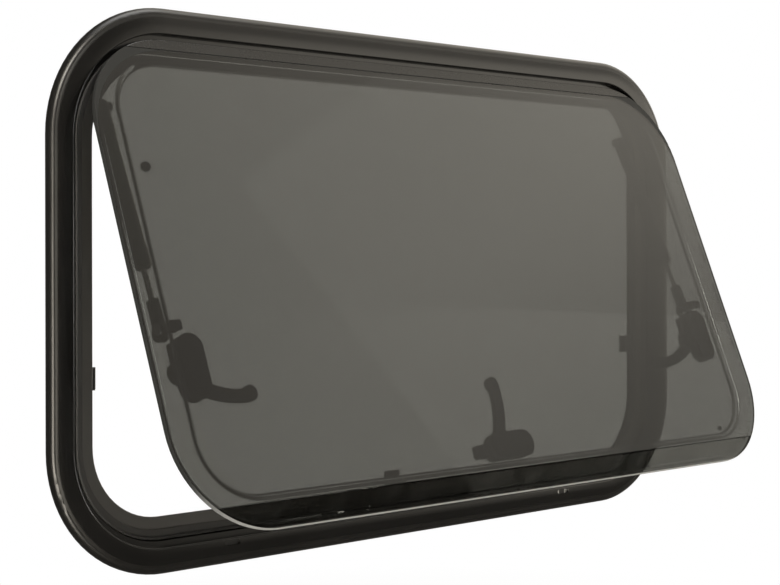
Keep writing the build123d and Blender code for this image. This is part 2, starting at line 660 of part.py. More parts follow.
pane_pin += rod_x(head_in, head_in + PIN_HEAD_T, PANE_PIN_Y, PANE_PIN_Z, PIN_HEAD_R)
pane_pin_right = swing(pane_pin)

nodes = {
    "outer_frame": outer_frame,
    "clamp_frame": clamp_frame,
    "clamp_screws": clamp_screws,
    "weather_seal": weather_seal,
    "hinge_rail": hinge_rail,
    "drain_cap_left": drain_cap_left,
    "drain_cap_right": drain_cap_right,
    "keeper_left": keeper_left,
    "keeper_right": keeper_right,
    "keeper_low": keeper_low,
    "outer_pane": outer_pane,
    "inner_pane": inner_pane,
    "hinge_strip": hinge_strip,
    "breather_plug": breather_plug,
    "small_plug": small_plug,
    "latch_base_left": latch_base_left,
    "latch_base_right": latch_base_right,
    "latch_base_low": latch_base_low,
    "lever_left": lever_left,
    "lever_right": lever_right,
    "lever_low": lever_low,
    "lever_screw_left": lever_screw_left,
    "lever_screw_right": lever_screw_right,
    "lever_screw_low": lever_screw_low,
}
for name, shape in (
    ("stay_bracket", stay_bracket_right),
    ("stay_pin", stay_pin_right),
    ("stay_tube", stay_tube_right),
    ("stay_cap", stay_cap_right),
    ("stay_rod", stay_rod_right),
    ("stay_eye", stay_eye_right),
    ("pane_bracket", pane_bracket_right),
    ("pane_pin", pane_pin_right),
):
    nodes[name + "_right"] = shape
    nodes[name + "_left"] = flip(shape)

os.makedirs("parts", exist_ok=True)
for name, shape in nodes.items():
    export_step(shape, os.path.join("parts", name + ".step"))
    print(name, round(shape.volume), "mm3")
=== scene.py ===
# %% [markdown]
# # Dressing a top-hung camper window
# The window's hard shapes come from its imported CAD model, which is loaded as a fixed frame.
# This lesson gives every surface its finish, remakes the few pieces whose fine form only shows
# in close light, and photographs the result on a white stage.
# Lengths are metres. X runs along the wall, +Y goes indoors and +Z is up.

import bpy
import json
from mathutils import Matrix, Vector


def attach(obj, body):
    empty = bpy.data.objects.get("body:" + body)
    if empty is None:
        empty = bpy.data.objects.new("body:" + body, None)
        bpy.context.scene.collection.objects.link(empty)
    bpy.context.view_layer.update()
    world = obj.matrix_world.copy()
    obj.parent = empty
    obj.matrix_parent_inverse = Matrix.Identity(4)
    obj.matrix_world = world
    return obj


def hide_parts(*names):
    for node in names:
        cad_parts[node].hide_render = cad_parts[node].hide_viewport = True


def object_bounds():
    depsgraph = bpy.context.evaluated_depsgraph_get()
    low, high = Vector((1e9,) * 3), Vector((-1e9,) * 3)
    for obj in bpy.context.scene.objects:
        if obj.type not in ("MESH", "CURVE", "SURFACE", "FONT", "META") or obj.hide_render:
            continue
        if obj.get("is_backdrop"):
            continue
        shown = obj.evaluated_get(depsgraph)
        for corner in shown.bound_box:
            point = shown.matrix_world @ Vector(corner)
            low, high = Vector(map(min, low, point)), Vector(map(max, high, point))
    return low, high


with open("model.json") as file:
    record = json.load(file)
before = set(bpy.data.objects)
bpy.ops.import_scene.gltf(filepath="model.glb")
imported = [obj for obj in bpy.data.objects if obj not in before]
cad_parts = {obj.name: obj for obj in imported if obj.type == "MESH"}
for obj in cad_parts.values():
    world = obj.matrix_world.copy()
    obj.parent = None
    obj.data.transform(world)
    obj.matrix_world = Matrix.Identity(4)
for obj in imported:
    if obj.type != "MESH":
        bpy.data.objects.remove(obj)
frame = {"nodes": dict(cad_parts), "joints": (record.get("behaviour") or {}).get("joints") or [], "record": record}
cad_low, cad_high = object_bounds()
print("nodes", len(frame["nodes"]), "size", [round(x, 3) for x in cad_high - cad_low])

# %% [markdown]
# ## Where the sash stands
# The pane is shown pushed open. A piece of the sash is easiest to draw with the window shut, when
# the pane is upright, and then to swing open with the sash. The hinge's own joint says where the
# axis lies and how far the sash is from shut, so one turn matrix serves every piece of the sash.

# %% The turn from shut to open
import json
import math

import bmesh
import bpy
from mathutils import Matrix, Vector

joints = {joint["name"]: joint for joint in frame["joints"]}
hinge = joints["sash_hinge"]
hinge_at = Matrix.Translation(Vector(hinge["pos_m"]))
open_angle = math.radians(-hinge["range_deg"][0])
swing_open = hinge_at @ Matrix.Rotation(open_angle, 4, Vector(hinge["axis"])) @ hinge_at.inverted()
swing_shut = swing_open.inverted()


def shut_box(node):
    """Lowest and highest corner of a sash node with the window shut."""
    spots = [swing_shut @ vertex.co for vertex in frame["nodes"][node].data.vertices]
    low = Vector([min(spot[axis] for spot in spots) for axis in range(3)])
    high = Vector([max(spot[axis] for spot in spots) for axis in range(3)])
    return low, high


pane_low, pane_high = shut_box("outer_pane")
print("open by", round(math.degrees(open_angle), 1), "degrees")
print("pane", [round(x, 4) for x in pane_high - pane_low])

# %% [markdown]
# ## Shader sums in plain Python
# A finish is mostly small sums: a base value plus a little noise, one minus a mask. Wiring Math
# nodes by hand hides the sum, so one small class stands for a socket and turns Python operators
# into Math nodes. Its `node` method adds any other node: settings first, then sockets.

# %% A socket that can be added and multiplied


class Wire:
    """The output socket of one shader node, ready for sums."""

    def __init__(self, tree, socket=None):
        self.tree = tree
        self.socket = socket

    def node(self, kind, settings=None, sockets=None, out=0):
        """Add a node, give it its settings and sockets, and hand back one output, if it has any."""
        made = self.tree.nodes.new(kind)
        for name, value in (settings or {}).items():
            setattr(made, name, value)
        for name, value in (sockets or {}).items():
            if isinstance(value, Wire):
                self.tree.links.new(value.socket, made.inputs[name])
            else:
                made.inputs[name].default_value = value
        return Wire(self.tree, made.outputs[out] if made.outputs else None)

    def sum(self, operation, first, second):
        return self.node("ShaderNodeMath", {"operation": operation}, {0: first, 1: second})

    def __add__(self, other):
        return self.sum("ADD", self, other)

    def __sub__(self, other):
        return self.sum("SUBTRACT", self, other)

    def __rsub__(self, other):
        return self.sum("SUBTRACT", other, self)

    def __mul__(self, other):
        return self.sum("MULTIPLY", self, other)

    def __pow__(self, other):
        return self.sum("POWER", self, other)

    __radd__ = __add__
    __rmul__ = __mul__


print("sums ready:", [name for name in ("__add__", "__rsub__", "__mul__") if hasattr(Wire, name)])

# %% [markdown]
# ## One way to start a finish
# Every finish on the window is a Principled shader with constants on its own sockets, and a few
# patterns that vary over the surface: a broad one that keeps large faces from looking printed, and
# a fine one for the grain. All patterns read Object coordinates, so they stay put when the sash,
# levers and stays move.

# %% Starting a finish and its patterns
slot_of = {row["node"]: row["material_slot"] for row in frame["record"]["subparts"]}
finishes = {}


def start_finish(slot, **constants):
    """A new material for one slot: its Principled shader and a wire to make patterns with."""
    material = bpy.data.materials.new(slot)
    material.use_nodes = True
    shader = material.node_tree.nodes["Principled BSDF"]
    for name, value in constants.items():
        shader.inputs[name.replace("_", " ")].default_value = value
    finishes[slot] = material
    return shader, Wire(material.node_tree)


def place_on(wire):
    """The place on the surface, in metres."""
    return wire.node("ShaderNodeTexCoord", out="Object")


def stretched(place, scale):
    """A place or a way, multiplied by one factor for each axis."""
    return place.node("ShaderNodeVectorMath", {"operation": "MULTIPLY"}, {0: place, 1: scale})


def noise(place, detail):
    """Noise from 0 to 1, with blotches about one unit across."""
    sockets = {"Vector": place, "Scale": 1.0, "Detail": detail}
    return place.node("ShaderNodeTexNoise", {}, sockets, "Fac")


def speckle(wire, size, detail=2.0, stretch=(1.0, 1.0, 1.0)):
    """Noise with blotches about `size` metres across, longer where stretch is above 1."""
    scale = tuple(1.0 / (size * share) for share in stretch)
    return noise(stretched(place_on(wire), scale), detail)


def blend_colours(wire, share, first, second):
    """A colour between two, by a share from 0 to 1."""
    settings = {"data_type": "RGBA"}
    sockets = {"Factor": share, 6: (*first, 1.0), 7: (*second, 1.0)}
    return wire.node("ShaderNodeMix", settings, sockets, 2)


def feed(shader, name, wire):
    """Join a pattern to one socket of the shader."""
    wire.tree.links.new(wire.socket, shader.inputs[name])


def emboss(shader, height, depth):
    """Raise the surface by a pattern, `depth` metres from its lowest to its highest."""
    sockets = {"Strength": 1.0, "Distance": depth, "Height": height}
    feed(shader, "Normal", height.node("ShaderNodeBump", {}, sockets))


print("slots to finish:", sorted(set(slot_of.values())))

# %% [markdown]
# ## Powder-coated aluminium
# The frame is a bent aluminium extrusion under satin black powder coat. Powder melts into a skin
# with a faint orange-peel ripple about a millimetre across, so highlights are soft-edged and run
# long along the shoulders. A flat black with one roughness would look like paper, so the peel goes
# into the bump and a broad pattern moves the gloss and the warmth of the black a little.

# %% Satin black coat for the hinge and the stays
COAT_DARK = (0.0040, 0.0037, 0.0034)
COAT_PALE = (0.0080, 0.0075, 0.0068)
COAT_IOR = 1.5
BROAD_SIZE = 0.060
PEEL_SIZE = 0.0011
PEEL_DEPTH = 0.000006


def coat_patterns(wire):
    """The broad pattern and the peel, then both as a share of colour and as a change of gloss."""
    broad = speckle(wire, BROAD_SIZE)
    peel = speckle(wire, PEEL_SIZE, 1.0)
    return broad, peel, broad * 0.7 + peel * 0.3, (broad - 0.5) * 0.08 + (peel - 0.5) * 0.05


def powder_coat(slot, dark, pale, gloss):
    shader, wire = start_finish(slot, IOR=COAT_IOR)
    peel, share, uneven = coat_patterns(wire)[1:]
    feed(shader, "Base Color", blend_colours(wire, share, dark, pale))
    feed(shader, "Roughness", gloss + uneven)
    emboss(shader, peel, PEEL_DEPTH)


powder_coat("hinge_aluminium", COAT_DARK, COAT_PALE, 0.28)
powder_coat("stay_black", (0.009, 0.0085, 0.0075), (0.014, 0.013, 0.012), 0.22)
print("coats:", list(finishes))

# %% [markdown]
# ## The frame's own coat
# On the frame the coat lies over a face that bends softly into the outer shoulder, which is why its
# highlight is a broad band, and over an inner web that is duller and paler than the face. Both
# follow the outline, so the finish needs the distance in from the frame's rounded edge, which
# `corner_inset` gives. The bend is a bump that is steepest at the edge, and the coat is a little
# duller on it, so that the light spreads.

# %% Distance in from a rounded outline


def along(place, axis):
    """One coordinate of a place."""
    return place.node("ShaderNodeSeparateXYZ", {}, {0: place}, axis)


def corner_inset(across, up, half, corner):
    """Distance in from a rounded outline, true near its edge.

    `half` is half the outline's size each way and `corner` the radius of its corners.
    """
    past = []
    for off, reach in ((across, half[0]), (up, half[1])):
        away = off.node("ShaderNodeMath", {"operation": "ABSOLUTE"}, {0: off})
        past.append(off.sum("MAXIMUM", away - (reach - corner), 0.0))
    return corner - (past[0] * past[0] + past[1] * past[1]) ** 0.5


FRAME_CORNER = 0.104
frame_half = (cad_high.x, cad_high.z)
print("frame half size", [round(size, 4) for size in frame_half], "corner", FRAME_CORNER)

# %% Crowned face and paler web
CROWN_IN = 0.0085
CROWN_BEND = 38.0
CROWN_DULL = 0.14
DULL_WITHIN = CROWN_IN / 4
WEB_IN = 0.0262
WEB_PALE = (0.068, 0.065, 0.060)
WEB_SPREAD = 0.20
WEB_DULL = 0.16
COAT_SPREAD = 0.09
COAT_GLOSS = 0.20
FINE_PEEL = 0.000003
frame_coat, wire = start_finish("frame_black", IOR=COAT_IOR)
spot = place_on(wire)
inset = corner_inset(along(spot, "X"), along(spot, "Z"), frame_half, FRAME_CORNER)
web = wire.sum("GREATER_THAN", inset, WEB_IN)
broad, peel, share, uneven = coat_patterns(wire)
web_share = 1.0 - WEB_SPREAD + broad * WEB_SPREAD
paleness = web * web_share + (1.0 - web) * (share * COAT_SPREAD)
feed(frame_coat, "Base Color", blend_colours(wire, paleness, COAT_DARK, WEB_PALE))
to_edge = wire.sum("MAXIMUM", CROWN_IN - inset, 0.0)
dulled = wire.sum("MINIMUM", to_edge * (1.0 / DULL_WITHIN), 1.0) * CROWN_DULL
feed(frame_coat, "Roughness", COAT_GLOSS + dulled + web * WEB_DULL + uneven)
emboss(frame_coat, peel * FINE_PEEL - to_edge * to_edge * (CROWN_BEND / 2), 1.0)
print("crown", CROWN_IN * 1000, "mm wide, web from", WEB_IN * 1000, "mm in")

# %% [markdown]
# ## Moulded plastic and rubber
# Levers, latch bases, brackets and the clamp frame are injection moulded in tools with a fine
# spark-eroded grain. The grain is a bump of a few hundredths of a millimetre, sharper than the
# peel of the powder coat, and the high spots polish up where hands touch.
# The seal is extruded rubber: dull, with long drawn streaks and a little bloom.

# %% Grained plastic


def grained_plastic(slot, dark, pale, gloss, grain_size, grain_depth):
    shader, wire = start_finish(slot, IOR=1.47)
    broad = speckle(wire, 0.030, 3.0)
    grain = speckle(wire, grain_size, 2.0)
    feed(shader, "Base Color", blend_colours(wire, broad * 0.5 + grain * 0.5, dark, pale))
    feed(shader, "Roughness", gloss + (broad - 0.5) * 0.12 - grain * 0.06)
    emboss(shader, grain, grain_depth)


MOULDED_DARK = (0.008, 0.008, 0.0078)
grained_plastic("trim_black", (0.010, 0.010, 0.010), (0.018, 0.018, 0.018), 0.52, 0.0008, 0.000040)
grained_plastic("fitting_plastic", MOULDED_DARK, (0.015, 0.015, 0.0145), 0.44, 0.0006, 0.000025)
grained_plastic("lever_plastic", MOULDED_DARK, (0.014, 0.014, 0.0135), 0.36, 0.0006, 0.000018)
grained_plastic("plug_plastic", (0.014, 0.014, 0.014), (0.024, 0.024, 0.023), 0.40, 0.0005, 0.000015)
print("moulded:", [slot for slot in finishes if "plastic" in slot or "trim" in slot])

# %% Dull rubber
rubber, wire = start_finish("seal_rubber", IOR=1.46)
bloom = speckle(wire, 0.018, 4.0)
streak = speckle(wire, 0.0007, 2.0, (30.0, 1.0, 30.0))
dusty = blend_colours(wire, bloom * 0.6 + streak * 0.4, (0.009, 0.009, 0.009), (0.022, 0.021, 0.020))
feed(rubber, "Base Color", dusty)
feed(rubber, "Roughness", 0.56 + bloom * 0.16)
emboss(rubber, streak, 0.00003)
print("extruded:", [slot for slot in finishes if "rubber" in slot])

# %% [markdown]
# ## Bare metal
# Screws are zinc plated, pins are turned, the stays' rods are drawn bright and the drain inserts
# are bare aluminium. Each has fine marks in the direction it was worked, so the noise is
# stretched along that direction and feeds the roughness and a shallow bump.

# %% Zinc, turned steel, drawn rod and bare aluminium


def bare_metal(slot, dark, pale, gloss, mark_size, stretch):
    shader, wire = start_finish(slot, Metallic=1.0)
    tarnish = speckle(wire, 0.006, 3.0)
    marks = speckle(wire, mark_size, 2.0, stretch)
    feed(shader, "Base Color", blend_colours(wire, tarnish, dark, pale))
    feed(shader, "Roughness", gloss + marks * 0.14 + tarnish * 0.06)
    emboss(shader, marks, 0.000010)
    return shader


bare_metal("screw_steel", (0.42, 0.43, 0.44), (0.58, 0.58, 0.57), 0.24, 0.0004, (1.0, 1.0, 1.0))
bare_metal("pin_steel", (0.36, 0.36, 0.36), (0.48, 0.48, 0.47), 0.22, 0.0004, (1.0, 8.0, 8.0))
bare_metal("rod_steel", (0.34, 0.34, 0.34), (0.46, 0.46, 0.45), 0.18, 0.0003, (1.0, 30.0, 60.0))
baffle = bare_metal(
    "drain_silver", (0.50, 0.51, 0.52), (0.66, 0.66, 0.66), 0.26, 0.0003, (40.0, 1.0, 1.0),
)
print("metals:", [slot for slot in finishes if "steel" in slot or "silver" in slot])

# %% [markdown]
# ## Drain inserts
# Water leaves the frame through two slots in its lower face, each with a small insert. The right one
# has bare ends beside a hole in painted shade; the left one lies in the shade and is painted dark all
# over. Cutting holes a few millimetres wide would add little, so the bare metal fades to a painted black shade by
# distance from the middle.

# %% Painted shade in the holes between bare ends
DRAIN_X = 0.204
HOLE_EDGE = (0.0036, 0.0044)
HOLE_SHADE_PAINT = (0.006, 0.006, 0.006)
BARE_END = (0.60, 0.60, 0.60)


def soft_step(value, start, end):
    """A smooth step from 0 at the start to 1 at the end."""
    settings = {"interpolation_type": "SMOOTHSTEP"}
    sockets = {"Value": value, "From Min": start, "From Max": end}
    return value.node("ShaderNodeMapRange", settings, sockets)


wire = Wire(finishes["drain_silver"].node_tree)
across = along(place_on(wire), "X")
off_middle = wire.node("ShaderNodeMath", {"operation": "ABSOLUTE"}, {0: across - DRAIN_X})
# Painted shade: black in each insert's middle and all over the left insert, bare metal elsewhere.
bare = soft_step(off_middle, *HOLE_EDGE) * wire.sum("GREATER_THAN", across, 0.0)
feed(baffle, "Base Color", blend_colours(wire, bare, HOLE_SHADE_PAINT, BARE_END))
feed(baffle, "Metallic", bare)
print("bare ends beyond", HOLE_EDGE[1] * 1000, "mm")

# %% [markdown]
# ## Acrylic sheet
# The outer sheet is grey-tinted cast acrylic that lets about a tenth of the light through. The inner
# sheet is clear. Both are real closed solids, so a refracting shader bends what lies behind them as
# the real sheets do. Very faint handling marks vary the roughness, because a perfect surface looks
# computed.

# %% Tinted and clear acrylic


def acrylic(slot, dark, pale, haze):
    shader, wire = start_finish(slot, IOR=1.49, Transmission_Weight=1.0)
    cast = speckle(wire, 0.150)
    marks = speckle(wire, 0.012, 4.0)
    feed(shader, "Base Color", blend_colours(wire, cast, dark, pale))
    feed(shader, "Roughness", (marks**6.0) * haze)
    return shader


tinted = acrylic("tinted_acrylic", (0.088, 0.088, 0.079), (0.093, 0.093, 0.084), 0.02)
acrylic("clear_acrylic", (0.955, 0.958, 0.945), (0.970, 0.970, 0.957), 0.02)
print("acrylic:", [slot for slot in finishes if "acrylic" in slot])

# %% [markdown]
# ## The dull lower rim
# Along the lower edge the outer sheet is bonded flat to the inner one and turned a little inwards, so
# this band mirrors the dark ground, not the bright room, and looks black over the frame. A second
# acrylic that hardly mirrors stands for it, mixed in between two heights above the pane's edge.
# Handling marks show in it as faint slanting streaks.

# %% Height on the open pane
pane_up = swing_open.to_3x3() @ Vector((0, 0, 1))
edge_height = pane_up.dot(swing_open @ Vector((0, 0, pane_low.z)))


def part_along(way, direction):
    """How far a place or a way reaches along a direction."""
    sockets = {0: way, 1: direction}
    return way.node("ShaderNodeVectorMath", {"operation": "DOT_PRODUCT"}, sockets, "Value")


def height_on_pane(spot):
    """Height of a spot above the pane's lower edge, along the open pane."""
    return part_along(spot, pane_up) - edge_height


print("pane's way up", [round(x, 4) for x in pane_up], "lower edge at", round(edge_height, 4))

# %% A band that does not mirror
RIM_EDGE = 0.0013
RIM_HEIGHT = 0.0205
RIM_SOFT = 0.0004
RIM_TINT = (0.103, 0.100, 0.087, 1.0)
RIM_IOR = 1.02
STREAK_SHARE = 0.22
STREAK_SLANT = 35
STREAK_SCALE = (12.0, 12.0, 160.0)
wire = Wire(finishes["tinted_acrylic"].node_tree)
spot = place_on(wire)
above = height_on_pane(spot)
turned = {"Vector": spot, "Angle": math.radians(STREAK_SLANT)}
slant = wire.node("ShaderNodeVectorRotate", {"rotation_type": "Y_AXIS"}, turned)
streaks = noise(stretched(slant, STREAK_SCALE), 3.0)
foot_step = soft_step(above, RIM_EDGE, RIM_EDGE + RIM_SOFT)
top_step = soft_step(above, RIM_HEIGHT, RIM_HEIGHT + RIM_SOFT)
band = foot_step * (1.0 - top_step) * (1.0 - streaks**2.0 * STREAK_SHARE)
sockets = {"Base Color": RIM_TINT, "Roughness": 0.0, "IOR": RIM_IOR, "Transmission Weight": 1.0}
dull = wire.node("ShaderNodeBsdfPrincipled", {}, sockets)
mirroring = Wire(wire.tree, tinted.outputs[0])
both = wire.node("ShaderNodeMixShader", {}, {0: band, 1: mirroring, 2: dull})
print("dull band from", RIM_EDGE * 1000, "to", RIM_HEIGHT * 1000, "mm above the edge")

# %% [markdown]
# ## The sawn edge
# The sheet was sawn to size, so its edge is not clear at all: it is a thin grey line round the pane,
# with a painted highlight that makes it paler along the bottom. A plain dull shader takes over within a
# fraction of a millimetre of the outline, which is nearly the edge's own faces.

# %% A dull line round the sheet
PANE_CORNER = 0.079
SAWN_IN = 0.0006
SAWN_GREY = (0.035, 0.035, 0.033)
EDGE_HIGHLIGHT_PALE = (0.46, 0.46, 0.44)
BOTTOM_HIGHLIGHT_UP = 0.045
half_size = (pane_high - pane_low) / 2
pane_half = (half_size.x, half_size.z)
inset = corner_inset(along(spot, "X"), above - half_size.z, pane_half, PANE_CORNER)
# Painted highlight: the edge turns paler towards the pane's lower edge, mottled by the handling streaks.
painted_highlight = 1.0 - soft_step(above, 0.0, BOTTOM_HIGHLIGHT_UP)
sawn_grey_and_highlight = blend_colours(wire, painted_highlight * (0.7 + streaks * 0.4), SAWN_GREY, EDGE_HIGHLIGHT_PALE)
sockets = {"Base Color": sawn_grey_and_highlight, "Roughness": 0.60, "Specular IOR Level": 0.08}
sawn = wire.node("ShaderNodeBsdfPrincipled", {}, sockets)
on_edge = wire.sum("LESS_THAN", inset, SAWN_IN)
edged = wire.node("ShaderNodeMixShader", {}, {0: on_edge, 1: both, 2: sawn})
wire.tree.links.new(edged.socket, wire.tree.nodes["Material Output"].inputs["Surface"])
print("sawn edge on a sheet of", [round(size * 2, 4) for size in half_size])

# %% [markdown]
# ## Hand the finishes out
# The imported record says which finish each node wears. A CAD node's mesh is left alone; only its
# material slots change.

# %% Dress the CAD nodes
for name, node in frame["nodes"].items():
    node.data.materials.clear()
    node.data.materials.append(finishes[slot_of[name]])
print("dressed", len(frame["nodes"]), "nodes in", len(finishes), "finishes")

# %% [markdown]
# ## New pieces
# A few pieces are remade here because their fine form is what the light shows. Each is a bmesh
# that becomes an object at the origin, with its place in the mesh, and rides on its body.

# %% From bmesh to a riding piece
SHARP_ANGLE = 38
MERGE_WITHIN = 1e-6


def new_piece(name, shape, body, slot, *stands_for):
    """Finish a bmesh as an object that rides on a body and may stand for CAD nodes."""
    mesh = bpy.data.meshes.new(name)
    shape.to_mesh(mesh)
    shape.free()
    mesh.materials.append(finishes[slot])
    piece = bpy.data.objects.new(name, mesh)
    bpy.context.scene.collection.objects.link(piece)
    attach(piece, body)
    if stands_for:
        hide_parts(*stands_for)
    mesh.shade_smooth()
    mesh.set_sharp_from_angle(angle=math.radians(SHARP_ANGLE))
    print(name, "faces", len(mesh.polygons), "for", stands_for)


def merged(shape):
    """Close seams and turn all faces outwards."""
    bmesh.ops.remove_doubles(shape, verts=shape.verts, dist=MERGE_WITHIN)
    bmesh.ops.recalc_face_normals(shape, faces=shape.faces)
    return shape


print("edges sharper than", SHARP_ANGLE, "degrees stay sharp")

# %% [markdown]
# ## The formed inner sheet
# The clear inner sheet is heated and drawn over a former, so its step is a soft S-bend, not a
# crease, and that bend is what draws the double line round the pane. It could be swept from a
# section, but rings inset one after another follow the rounded outline just as well: each
# inset goes a little further in and a little higher, along a smooth S.

# %% Outline of the rim and of the step's foot
RIM_CORNERS = (0.075, 0.060)
FOOT_CORNERS = (0.050, 0.050)
FOOT_IN = 0.0222
FOOT_TOP_IN = 0.0058
SHEET_GAUGE = 0.0025
CORNER_STEPS = 28


def rounded_face(shape, low, high, radii):
    """A flat face between two corners, in X and Y, with one radius below and one above."""
    made = bmesh.ops.create_grid(shape, x_segments=1, y_segments=1, size=0.5)["verts"]
    size = Vector((high[0] - low[0], high[1] - low[1], 1.0))
    middle = Vector(((high[0] + low[0]) / 2, (high[1] + low[1]) / 2, 0.0))
    bmesh.ops.scale(shape, vec=size, verts=made)
    bmesh.ops.translate(shape, vec=middle, verts=made)
    before = set(shape.faces) - set(made[0].link_faces)
    lower = [vertex for vertex in made if vertex.co.y < middle.y]
    upper = [vertex for vertex in made if vertex.co.y > middle.y]
    for corners, radius in zip((lower, upper), radii):
        bmesh.ops.bevel(
            shape, geom=corners, offset=radius, offset_type="OFFSET", segments=CORNER_STEPS,
            profile=0.5, affect="VERTICES", material=-1,
        )
    return [face for face in shape.faces if face not in before and len(face.verts) > 4][0]


sheet_low, sheet_high = shut_box("inner_pane")
foot_low = (pane_low.x + FOOT_IN, pane_low.z + FOOT_IN)
foot_high = (pane_high.x - FOOT_IN, pane_high.z - FOOT_TOP_IN)
former = bmesh.new()
rim_low, rim_high = (sheet_low.x, sheet_low.z), (sheet_high.x, sheet_high.z)
rim_face = rounded_face(former, rim_low, rim_high, RIM_CORNERS)
rim_edges = list(rim_face.edges)
bmesh.ops.delete(former, geom=[rim_face], context="FACES_ONLY")
foot_face = rounded_face(former, foot_low, foot_high, FOOT_CORNERS)
foot_edges = list(foot_face.edges)
bmesh.ops.bridge_loops(former, edges=rim_edges + foot_edges)
print("rim edges", len(rim_edges), "foot edges", len(foot_edges))

# %% The S-bend, the gauge of the sheet and its place
STEP_W = 0.0052
STEP_RINGS = 12
FLAT_RINGS = (0.0006, 0.0006)
sheet_rise = sheet_high.y - sheet_low.y - SHEET_GAUGE
former.normal_update()
middle_face = max(former.faces, key=lambda face: face.calc_area())
risen = 0.0
for ring in range(1, STEP_RINGS + 1):
    share = ring / STEP_RINGS
    height = sheet_rise * share * share * (3 - 2 * share)
    bmesh.ops.inset_region(
        former, faces=[middle_face], thickness=STEP_W / STEP_RINGS, depth=height - risen,
        use_even_offset=True, use_boundary=True,
    )
    risen = height
for width in FLAT_RINGS:
    bmesh.ops.inset_region(
        former, faces=[middle_face], thickness=width, use_even_offset=True, use_boundary=True,
    )
bmesh.ops.recalc_face_normals(former, faces=former.faces)
if middle_face.normal.z < 0:
    bmesh.ops.reverse_faces(former, faces=former.faces)
bmesh.ops.solidify(former, geom=former.faces[:], thickness=SHEET_GAUGE)
heights = [vertex.co.z for vertex in former.verts]
wanted = sheet_high.y - sheet_low.y
print("sheet", round(max(heights) - min(heights), 5), "deep, wanted", round(wanted, 5))

# %% Stand the sheet up in the sash
# Drawn as seen from indoors: right on the drawing is -X, up is +Z and towards the eye is +Y.
stand_up = Matrix(((-1, 0, 0, 0), (0, 0, 1, 0), (0, 1, 0, 0), (0, 0, 0, 1)))
bond_face = Matrix.Translation(Vector((0, sheet_low.y, 0)))
lift = Matrix.Translation(Vector((0, 0, SHEET_GAUGE)))
bmesh.ops.transform(former, matrix=swing_open @ bond_face @ stand_up @ lift, verts=former.verts)
new_piece("formed_sheet", former, "sash", "clear_acrylic", "inner_pane")

# %% [markdown]
# ## Dark lines along the bends
# Both bends of the step stretch the sheet thin and send the light sideways, so each shows as a dark
# line with the clear wall of the step between them. A plain refracting shader blurs these lines, so
# the clear finish is darkened along them, by its distance in from the foot of the step.

# %% Two lines round the step
FOOT_LINE = (0.0000, 0.0012)
TOP_LINE = (0.0040, 0.0060)
LINE_SOFT = 0.0004
LINE_SHARE = 0.94
LINE_DARK = (0.03, 0.03, 0.028)
CLEAR_SHEET = (0.965, 0.965, 0.952)
foot_half = Vector(((foot_high[0] - foot_low[0]) / 2, (foot_high[1] - foot_low[1]) / 2))
foot_middle = (foot_high[1] + foot_low[1]) / 2 - pane_low.z
clear = finishes["clear_acrylic"].node_tree.nodes["Principled BSDF"]
wire = Wire(finishes["clear_acrylic"].node_tree)
spot = place_on(wire)
up = height_on_pane(spot) - foot_middle
inset = corner_inset(along(spot, "X"), up, foot_half, FOOT_CORNERS[0])


def line_share(start, end):
    """1 between two distances from the foot of the step, 0 elsewhere, with soft sides."""
    sides = []
    for side in (start, end):
        sockets = {"Value": inset, "From Min": side - LINE_SOFT, "From Max": side + LINE_SOFT}
        sides.append(wire.node("ShaderNodeMapRange", {}, sockets))
    return sides[0] * (1.0 - sides[1])


lines = line_share(*FOOT_LINE) + line_share(*TOP_LINE)
feed(clear, "Base Color", blend_colours(wire, lines * LINE_SHARE, CLEAR_SHEET, LINE_DARK))
print("lines at", FOOT_LINE, "and", TOP_LINE, "m from the foot")

# %% [markdown]
# ## Turned and moulded round pieces
# The plugs in the sheet and the friction caps on the stays are round mouldings with softened
# rims. A round piece is its half section spun about its axis, which keeps every rim a true
# circle. Sections are (radius, height) pairs read from the foot up.

# %% Spinning a section


def spun(section, place, steps=40, closed=False):
    """Spin a section about local Z and put it in place."""
    shape = bmesh.new()
    corners = [shape.verts.new((radius, 0.0, height)) for radius, height in section]
    ends = corners[1:] + corners[:1] if closed else corners[1:]
    edges = [shape.edges.new(pair) for pair in zip(corners, ends)]
    bmesh.ops.spin(
        shape, geom=corners + edges, cent=(0, 0, 0), axis=(0, 0, 1), angle=2 * math.pi,
        steps=steps, use_merge=True, use_duplicate=False,
    )
    merged(shape)
    bmesh.ops.transform(shape, matrix=place, verts=shape.verts)
    return shape


print("round pieces are spun from a half section")

# %% Plugs: a button with a dished middle and a rounded rim
PLUG_SHARES = (
    (0, 0), (0.92, 0), (0.92, 0.60), (1, 0.64), (1, 0.84),
    (0.90, 0.97), (0.74, 1), (0.56, 0.94), (0, 0.90),
)


def plug_place(node):
    """Where a plug's foot sits, with local Z pointing indoors, its radius and its height."""
    low, high = shut_box(node)
    foot = Vector(((low.x + high.x) / 2, low.y, (low.z + high.z) / 2))
    return swing_open @ Matrix.Translation(foot) @ stand_up, (high.x - low.x) / 2, high.y - low.y


for node in ("breather_plug", "small_plug"):
    place, radius, height = plug_place(node)
    section = [(radius * across, height * up) for across, up in PLUG_SHARES]
    new_piece("dished_" + node, spun(section, place), "sash", "plug_plastic", node)

# %% [markdown]
# ## Friction caps
# Each stay is a tube that grips a thin rod. A cap screwed on the tube's end squeezes a collar round
# the rod, and has two grip grooves for the fingers. The stay's two joints give its axis.

# %% Caps on the stays
CAP_SECTION = (
    (0.0026, 0.0), (0.0062, 0.0), (0.0066, 0.0004), (0.0068, 0.0010),
    (0.0068, 0.0040), (0.0064, 0.0044), (0.0064, 0.0052), (0.0068, 0.0056),
    (0.0068, 0.0080), (0.0064, 0.0084), (0.0064, 0.0092), (0.0068, 0.0096),
    (0.0068, 0.0140), (0.0066, 0.0158), (0.0060, 0.0170), (0.0050, 0.0175), (0.0026, 0.0175),
)
TUBE_LENGTH = 0.121


